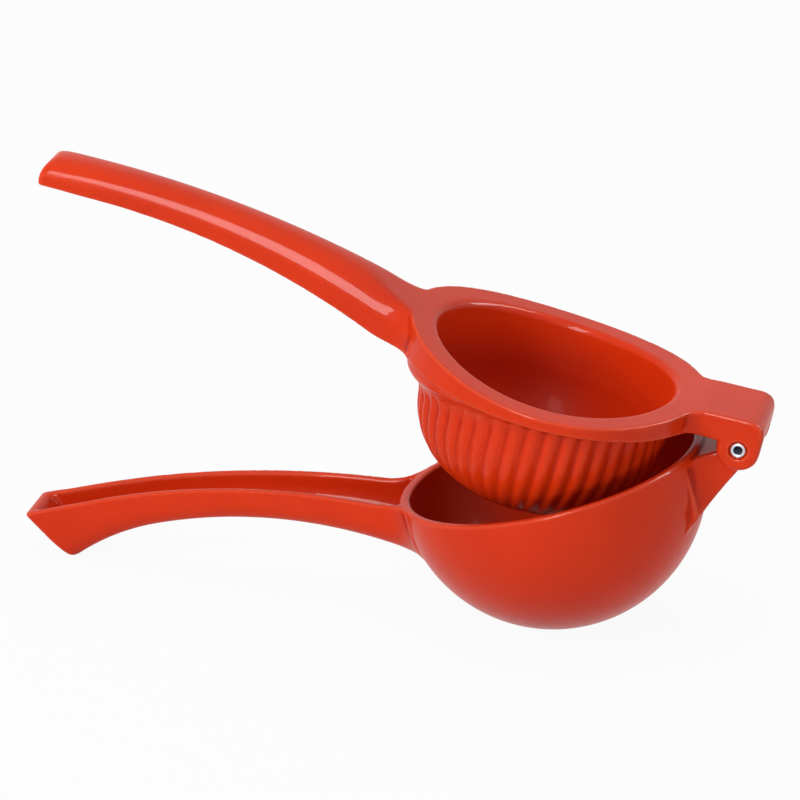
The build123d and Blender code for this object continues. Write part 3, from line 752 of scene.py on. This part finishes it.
# ---------------------------------------------------------------- materials
def enamel(name, settings):
    """Orange enamel, with slow drift of colour, orange peel and the waves of the casting. It is lighter over
    edges, partly thinner enamel and partly a painted highlight, and darker in hollows, partly pooled enamel and
    partly painted shade. It is duller where juice has been, and inside the cup and bowl it also carries painted
    shade."""
    sheet = Sheet(bpy.data.materials.new(name))
    curve = sheet.node("ShaderNodeAttribute", {"attribute_name": "bend"})["Fac"]
    ragged = sheet.noise(320.0, 3.0) * 0.25 - 0.12    # makes the borders of the lighter edges and the darker hollows uneven
    drift = sheet.noise(26.0, 3.0).step(0.3, 0.75)
    colour = sheet.blend(drift * 0.3, (*settings.colour, 1.0), (*settings.pooled_and_shade, 1.0))
    # painted shade: hollows are coloured darker, partly pooled enamel
    hollow_shade = (curve * -1.0 + ragged).step(0.1, 1.2)
    colour = sheet.blend(hollow_shade * 0.85, colour, (*settings.pooled_and_shade, 1.0))
    # painted highlight: edges are coloured lighter, partly thinner enamel over them
    colour = sheet.blend((curve + ragged).step(0.3, 1.5) * 0.4, colour, (*settings.thin_and_highlight, 1.0))
    dulled_and_shaded = sheet.node("ShaderNodeAttribute", {"attribute_name": "dulled_and_shaded"})["Fac"]
    # painted shade: the inside of the cup and bowl is coloured a little darker; juice only dulls its gloss
    colour = sheet.blend(dulled_and_shaded * 0.2, colour, (*settings.pooled_and_shade, 1.0))
    peel = sheet.noise(1100.0, 1.0)    # about 1 mm across
    wave = sheet.noise(70.0, 1.0)      # about 14 mm across
    normal = sheet.bump(wave, 0.0001, 0.5)
    normal = sheet.bump(peel, 0.00001, 0.4, normal)
    rough = settings.roughness + sheet.noise(220.0, 2.0) * 0.06 + dulled_and_shaded * 0.12
    coat = (1.0 - dulled_and_shaded * 0.9) * (1.0 - hollow_shade * 0.8) * settings.coat
    return sheet.finish({"Base Color": colour, "Roughness": rough, "Coat Weight": coat,
                         "Coat Roughness": 0.05, "Specular IOR Level": 0.05, "Normal": normal})


def steel(name, settings):
    """Drawn and rolled steel: rings of tool marks about the hinge axis, a dull bore, and painted shade in the
    bore, which is coloured darker and bluer.
    """
    sheet = Sheet(bpy.data.materials.new(name))
    place = sheet.node("ShaderNodeMapping", {"vector_type": "TEXTURE"}, {
        "Vector": sheet.place(), "Location": tuple(HINGE)})["Vector"]
    parts = sheet.node("ShaderNodeSeparateXYZ", None, {"Vector": place})
    reach = (parts["X"] * parts["X"] + parts["Z"] * parts["Z"]).math("SQRT")
    bore_edge = (0.00118, 0.0013)
    bore = 1.0 - reach.step(*bore_edge)
    rings = sheet.node("ShaderNodeCombineXYZ", None, {"X": reach, "Y": parts["Y"], "Z": 0.0})["Vector"]
    grain = sheet.noise(9000.0, 3.0, 0.6, rings)
    stain = sheet.noise(900.0, 2.0)
    light = (*settings.colour, 1.0)
    colour = sheet.blend(grain * 0.45, light, (*linear(150, 156, 168), 1.0))
    # painted shade: the bore is coloured darker and bluer
    colour = sheet.blend(bore * 0.7, colour, (*linear(120, 132, 160), 1.0))
    rough = settings.roughness + grain * 0.14 + stain * 0.08 + bore * 0.25
    return sheet.finish({"Base Color": colour, "Metallic": 1.0, "Roughness": rough,
                         "Normal": sheet.bump(grain, 0.000004, 0.5)})


# ---------------------------------------------------------------- pieces
def stand_in(piece, node, material):
    """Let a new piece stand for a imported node, on that node's body and in its material slot."""
    piece.data.materials.append(material)
    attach(piece, frame["nodes"][node]["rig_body"])
    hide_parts(node)


class SQUEEZER_OT_cup_arm(bpy.types.Operator):
    """Make and enamel the lower casting: strainer bowl, channelled handle and lug"""
    bl_idname = "squeezer.cup_arm"
    bl_label = "Cup arm"

    def execute(self, context):
        settings = context.scene.squeezer_casting
        low = (-HANDLE_REACH - 2 * MARGIN, -BOWL_RADIUS - MARGIN, BALL_Z - BOWL_RADIUS - MARGIN)
        high = (KNUCKLE_RADIUS + MARGIN, BOWL_RADIUS + MARGIN, RIM_Z + HANDLE_RISE + MARGIN)
        piece = cast_piece("cup_arm_casting", cup_arm_field, in_bowl, low, high,
                           settings.cup_cell * PER_METRE, PITCH)
        stand_in(piece, "cup_arm", enamel("cup_enamel", settings))
        return {"FINISHED"}


class SQUEEZER_OT_press_arm(bpy.types.Operator):
    """Make and enamel the upper casting: fluted press cup, arched handle and clevis"""
    bl_idname = "squeezer.press_arm"
    bl_label = "Press arm"

    def execute(self, context):
        settings = context.scene.squeezer_casting
        low = (-HANDLE_REACH - MARGIN, -RIM_RADIUS - MARGIN, DOME_KNEE - DOME_RADIUS)
        high = (EAR_RADIUS + MARGIN, RIM_RADIUS + MARGIN, CROWN_HEIGHT + MARGIN)
        piece = cast_piece("press_arm_casting", press_arm_field, in_cup, low, high,
                           settings.press_cell * PER_METRE, PITCH - OPEN_ANGLE)
        stand_in(piece, "press_arm", enamel("press_enamel", settings))
        return {"FINISHED"}


def rivet_profile():
    """Closed profile of the rivet, as reach from its axis and place along it.

    It runs from the middle of the bore over one rolled lip to the middle of the shank, and back over the
    other lip. A lip is half an ellipse, from the bore over the rivet's end to the lip's outer edge.
    """
    seat = CLEVIS_HALF - COUNTERBORE_DEPTH
    middle = (RIVET_BORE + LIP_RADIUS) / 2
    half = (LIP_RADIUS - RIVET_BORE) / 2
    turn = np.linspace(0, pi, LIP_POINTS)
    lip_reach = middle - half * np.cos(turn)
    lip_place = seat + LIP_HEIGHT / 2 + LIP_HEIGHT / 2 * np.sin(turn)
    under_reach = np.array([LIP_RADIUS - 0.06, LIP_RADIUS - 0.2, RIVET_RADIUS + 0.05, RIVET_RADIUS])
    under_place = np.array([seat + 0.1, seat + 0.02, seat, seat - 0.1])
    shank = np.linspace(seat - 0.4, 0, RUN_POINTS + 1)[:-1]
    bore = np.linspace(0, seat + 0.1, RUN_POINTS + 1)[1:]
    reach = np.concatenate([np.full(RUN_POINTS, RIVET_BORE), lip_reach, under_reach,
                            np.full(RUN_POINTS, RIVET_RADIUS)])
    place = np.concatenate([bore, lip_place, under_place, shank])
    return np.concatenate([reach, reach[::-1]]), np.concatenate([place, -place[::-1]])


class SQUEEZER_OT_hinge_rivet(bpy.types.Operator):
    """Make the hollow steel rivet with its rolled ends"""
    bl_idname = "squeezer.hinge_rivet"
    bl_label = "Hinge rivet"

    def execute(self, context):
        reach, place = rivet_profile()
        turn = np.linspace(0, 2 * pi, RIVET_SPOKES, endpoint=False)[:, None]
        points = np.array([reach * np.cos(turn), place + 0 * turn, reach * np.sin(turn)]).reshape(3, -1)
        rows, columns = np.meshgrid(np.arange(RIVET_SPOKES), np.arange(len(reach)), indexing="ij")
        after, beside = (rows + 1) % RIVET_SPOKES, (columns + 1) % len(reach)
        corners = ((rows, columns), (after, columns), (after, beside), (rows, beside))
        faces = np.stack([(row * len(reach) + column).ravel() for row, column in corners], 1)
        mesh = grid_mesh("hinge_rivet_steel", lay_in_place(points, 0.0).T, faces)
        piece = add_object("hinge_rivet_steel", mesh)
        stand_in(piece, "hinge_rivet", steel("rivet_steel", context.scene.squeezer_rivet))
        return {"FINISHED"}


# ---------------------------------------------------------------- stage
WHITE = (1.0, 1.0, 1.0, 1.0)
PALE = (0.7, 0.7, 0.7, 1.0)
MIDDLE = (0, 0, 0.05)        # what the lamps face
TOP = (0, 0, 0.09)           # what the mirrored panels face


def area_lamp(name, place, aim, width, height, power, mirrored=False):
    """Soft lamp at place, facing aim, its width level. It lights surfaces, or is mirrored in their gloss."""
    data = bpy.data.lights.new(name, "AREA")
    data.shape = "RECTANGLE"
    data.size = width
    data.size_y = height
    data.energy = power
    lamp = add_object(name, data)
    lamp.visible_camera = False
    lamp.visible_diffuse = not mirrored
    lamp.visible_glossy = mirrored
    lamp.location = place
    lamp.rotation_mode = "QUATERNION"
    lamp.rotation_quaternion = (Vector(aim) - Vector(place)).to_track_quat("-Z", "Y")


def floor_material():
    """Floor that is almost full white to the camera, in gloss and through glass, with a soft shadow in it."""
    sheet = Sheet(bpy.data.materials.new("floor"))
    paper = sheet.node("ShaderNodeBsdfDiffuse", None, {"Color": PALE})["BSDF"]
    glow = sheet.node("ShaderNodeEmission", None, {"Color": WHITE, "Strength": 1.0})["Emission"]
    mixed = sheet.node("ShaderNodeMixShader", None, {0: sheet.seen() * 0.94, 1: paper, 2: glow})["Shader"]
    sheet.node("ShaderNodeOutputMaterial", None, {"Surface": mixed})
    return sheet.owner


def white_world(ambient):
    """White surroundings: full white to the camera, in gloss and through glass, and softer as light."""
    sheet = Sheet(bpy.data.worlds.new("surroundings"))
    level = ambient + sheet.seen() * (1.0 - ambient)
    glow = sheet.node("ShaderNodeBackground", None, {"Color": WHITE, "Strength": level})["Background"]
    sheet.node("ShaderNodeOutputWorld", None, {"Surface": glow})
    return sheet.owner


def white_floor(radius=4.0, spokes=96):
    """Round floor at the lowest point of the squeezer: a fan of spokes about its middle."""
    turn = np.linspace(0, 2 * pi, spokes, endpoint=False)
    rim = np.stack([radius * np.cos(turn), radius * np.sin(turn), np.full(spokes, LOW.z)], 1)
    points = np.vstack([[(0, 0, LOW.z)], rim])
    index = np.arange(spokes)
    mesh = grid_mesh("floor", points, np.stack([0 * index, index + 1, (index + 1) % spokes + 1], 1))
    mesh.materials.append(floor_material())
    add_object("floor", mesh)


def aim_camera(stage):
    """Camera at its distance from the aim point, turned by azimuth, elevation and roll."""
    az, el, roll = stage.azimuth, stage.elevation, stage.roll
    back = Vector((sin(az) * cos(el), -cos(az) * cos(el), sin(el)))
    level = Vector((cos(az), sin(az), 0.0))
    upward = back.cross(level)
    right = level * cos(roll) + upward * sin(roll)
    up = upward * cos(roll) - level * sin(roll)
    data = bpy.data.cameras.new("camera")
    data.lens = stage.lens
    data.sensor_width = 36.0
    data.clip_end = 20.0
    camera = add_object("camera", data)
    turn = Matrix((right, up, back)).transposed()
    camera.matrix_world = Matrix.Translation(Vector(stage.aim) + back * stage.distance) @ turn.to_4x4()
    bpy.context.scene.camera = camera


class SQUEEZER_OT_stage(bpy.types.Operator):
    """Set the floor, the lamps, the surroundings and the camera"""
    bl_idname = "squeezer.stage"
    bl_label = "Stage"

    def execute(self, context):
        stage = context.scene.squeezer_stage
        white_floor()
        context.scene.world = white_world(stage.ambient)
        area_lamp("key", (-0.74, -0.9, 0.62), MIDDLE, 0.6, 0.6, stage.key)
        area_lamp("fill", (0.6, -1.0, 0.08), MIDDLE, 0.5, 0.25, stage.fill)
        area_lamp("over", (-0.1, 0.15, 1.2), MIDDLE, 0.7, 0.7, stage.over)
        area_lamp("strip", (0.0, -1.1, 0.76), TOP, 0.34, 1.05, stage.strip, mirrored=True)
        area_lamp("glint", (0.9, 0.3, 0.75), TOP, 0.35, 1.0, stage.glint, mirrored=True)
        aim_camera(stage)
        context.scene.view_settings.view_transform = "Standard"
        return {"FINISHED"}


class SQUEEZER_PT_panel(bpy.types.Panel):
    """Sidebar panel that lists the settings and the pieces"""
    bl_label = "Lemon squeezer"
    bl_idname = "SQUEEZER_PT_panel"
    bl_space_type = "VIEW_3D"
    bl_region_type = "UI"
    bl_category = "Squeezer"

    def draw(self, context):
        scene = context.scene
        for group in (scene.squeezer_casting, scene.squeezer_rivet, scene.squeezer_stage):
            for name in group.bl_rna.properties.keys():
                if name not in {"rna_type", "name"}:
                    self.layout.prop(group, name)
        for step in STEPS:
            self.layout.operator(step.bl_idname)


STEPS = (SQUEEZER_OT_cup_arm, SQUEEZER_OT_press_arm, SQUEEZER_OT_hinge_rivet, SQUEEZER_OT_stage)
CLASSES = (CastingSettings, RivetSettings, StageSettings, *STEPS, SQUEEZER_PT_panel)


def register():
    """Register every class and hang the settings on the scene."""
    for item in CLASSES:
        bpy.utils.register_class(item)
    bpy.types.Scene.squeezer_casting = bpy.props.PointerProperty(type=CastingSettings)
    bpy.types.Scene.squeezer_rivet = bpy.props.PointerProperty(type=RivetSettings)
    bpy.types.Scene.squeezer_stage = bpy.props.PointerProperty(type=StageSettings)


def unregister():
    """Take back what register did."""
    for name in ("squeezer_stage", "squeezer_rivet", "squeezer_casting"):
        delattr(bpy.types.Scene, name)
    for item in reversed(CLASSES):
        bpy.utils.unregister_class(item)


def main():
    """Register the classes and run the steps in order."""
    register()
    bpy.ops.squeezer.cup_arm()
    bpy.ops.squeezer.press_arm()
    bpy.ops.squeezer.hinge_rivet()
    bpy.ops.squeezer.stage()


if __name__ == "__main__":
    main()
